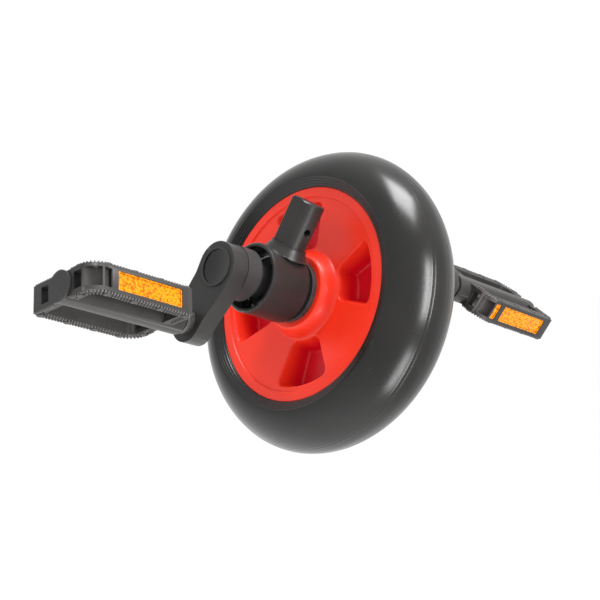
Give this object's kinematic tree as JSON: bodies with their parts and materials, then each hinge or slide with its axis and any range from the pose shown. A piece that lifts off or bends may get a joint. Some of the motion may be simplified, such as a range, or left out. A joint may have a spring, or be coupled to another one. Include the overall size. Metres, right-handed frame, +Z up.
{
  "type": "unicycle wheel set",
  "caption": "Small solid-tyre unicycle wheel with red hub, keyed axle, stubbed bearing housings, short cranks and cage pedals with amber reflectors.",
  "frame": {"origin": "centre of the wheel, on the axle, which is also the centre of the bounding box", "axes": "+X forward, +Y along the axle to the rider's left, +Z up along the two fork stubs; the rider's right side is -Y"},
  "size_m": [0.2, 0.3882, 0.2],
  "materials": {
    "tyre": "smooth solid rubber",
    "hub": "moulded, glossy",
    "housing": "satin black powder coat",
    "crank": "satin black paint",
    "reflector": "prismatic amber",
    "pedal": "moulded resin",
    "pedal_cap": "moulded resin",
    "dust_cap": "moulded, semi-gloss",
    "bush": "natural nylon",
    "seal": "matt",
    "cage": "pressed",
    "axle": "turned",
    "spindle": "zinc plated",
    "black_steel": "blackened steel",
    "spring_steel": "phosphated",
    "bright_steel": "ground"
  },
  "bodies": {
    "bearing_housings": {"right_bearing_housing": "housing", "left_bearing_housing": "housing", "right_bearing_outer_race": "bright_steel", "left_bearing_outer_race": "bright_steel", "right_bearing_seals": "seal", "left_bearing_seals": "seal", "right_circlip": "spring_steel", "left_circlip": "spring_steel"},
    "wheel": {"tyre": "tyre", "wheel_hub": "hub", "hub_sleeve": "black_steel", "axle": "axle", "axle_key": "bright_steel", "right_bearing_inner_race": "bright_steel", "left_bearing_inner_race": "bright_steel", "right_inner_spacer": "black_steel", "left_inner_spacer": "black_steel", "right_outer_spacer": "black_steel", "left_outer_spacer": "black_steel", "right_crank": "crank", "left_crank": "crank", "right_crank_washer": "bright_steel", "left_crank_washer": "bright_steel", "right_crank_bolt": "bright_steel", "left_crank_bolt": "bright_steel", "right_dust_cap": "dust_cap", "left_dust_cap": "dust_cap", "right_pedal_spindle": "spindle", "left_pedal_spindle": "spindle", "right_spindle_washer": "bright_steel", "left_spindle_washer": "bright_steel", "right_spindle_nut": "bright_steel", "left_spindle_nut": "bright_steel"},
    "right_ball_set": {"right_bearing_balls": "bright_steel", "right_bearing_cage": "cage"},
    "left_ball_set": {"left_bearing_balls": "bright_steel", "left_bearing_cage": "cage"},
    "right_pedal": {"right_pedal_body": "pedal", "right_inner_bush": "bush", "right_outer_bush": "bush", "right_front_reflector": "reflector", "right_rear_reflector": "reflector", "right_pedal_end_cap": "pedal_cap"},
    "left_pedal": {"left_pedal_body": "pedal", "left_inner_bush": "bush", "left_outer_bush": "bush", "left_front_reflector": "reflector", "left_rear_reflector": "reflector", "left_pedal_end_cap": "pedal_cap"}
  },
  "joints": [
    {"name": "wheel_spin", "type": "hinge", "parent": "bearing_housings", "child": "wheel", "pos_m": [0, 0, 0], "axis": [0, 1, 0], "continuous": true},
    {"name": "right_ball_roll", "type": "hinge", "parent": "bearing_housings", "child": "right_ball_set", "pos_m": [0, -0.048, 0], "axis": [0, 1, 0], "continuous": true},
    {"name": "left_ball_roll", "type": "hinge", "parent": "bearing_housings", "child": "left_ball_set", "pos_m": [0, 0.048, 0], "axis": [0, 1, 0], "continuous": true},
    {"name": "right_pedal_spin", "type": "hinge", "parent": "wheel", "child": "right_pedal", "pos_m": [0, -0.15, -0.038], "axis": [0, 1, 0], "continuous": true},
    {"name": "left_pedal_spin", "type": "hinge", "parent": "wheel", "child": "left_pedal", "pos_m": [0, 0.15, 0.038], "axis": [0, 1, 0], "continuous": true}
  ],
  "couplings": [
    {"joint": "right_ball_roll", "follows": "wheel_spin", "ratio": 0.3818},
    {"joint": "left_ball_roll", "follows": "wheel_spin", "ratio": 0.3818}
  ]
}
